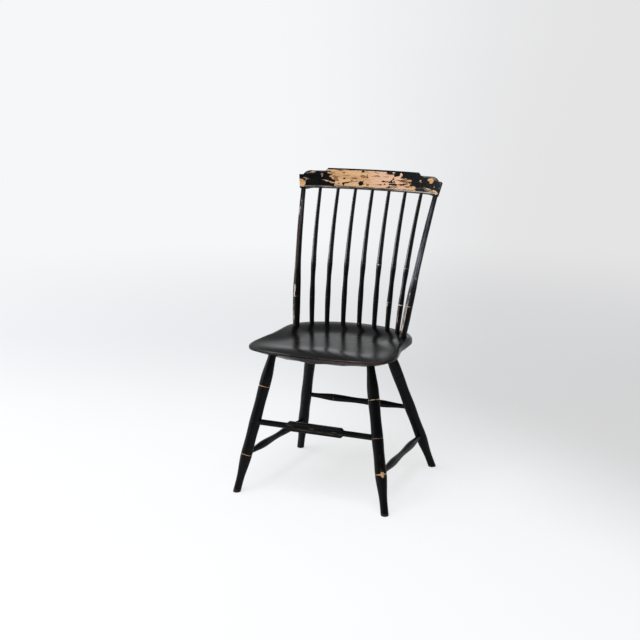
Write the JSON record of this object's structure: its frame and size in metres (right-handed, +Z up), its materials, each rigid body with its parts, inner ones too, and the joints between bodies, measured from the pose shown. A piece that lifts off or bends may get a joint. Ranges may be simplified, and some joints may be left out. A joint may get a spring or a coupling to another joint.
{
  "type": "step-down windsor side chair",
  "caption": "Old wooden Windsor side chair with bamboo-turned legs and spindles, a saddled plank seat, worn black paint and a crest rail peeled to bare wood.",
  "frame": {"origin": "on the floor, in the middle of the chair's own box", "axes": "+Z up, -Y the way the chair faces, +X to the right of someone looking at its front"},
  "size_m": [0.4784, 0.5122, 0.8862],
  "materials": {
    "black_paint": "worn satin black paint over wood, bare at the rings, arrises and joints",
    "peeled_crest": "bare tan wood with stains and ragged remains of black paint",
    "peg_wood": "bare end grain, dirty"
  },
  "bodies": {
    "root": {"seat": "black_paint", "crest_rail": "peeled_crest", "post_left": "black_paint", "post_right": "black_paint", "spindle_1": "black_paint", "spindle_2": "black_paint", "spindle_3": "black_paint", "spindle_4": "black_paint", "spindle_5": "black_paint", "spindle_6": "black_paint", "spindle_7": "black_paint", "leg_front_left": "black_paint", "leg_front_right": "black_paint", "leg_rear_left": "black_paint", "leg_rear_right": "black_paint", "stretcher_front": "black_paint", "stretcher_rear": "black_paint", "stretcher_left": "black_paint", "stretcher_right": "black_paint", "peg_post_left": "peg_wood", "peg_spindle_left": "peg_wood", "peg_spindle_right": "peg_wood", "peg_post_right": "peg_wood"}
  },
  "joints": []
}
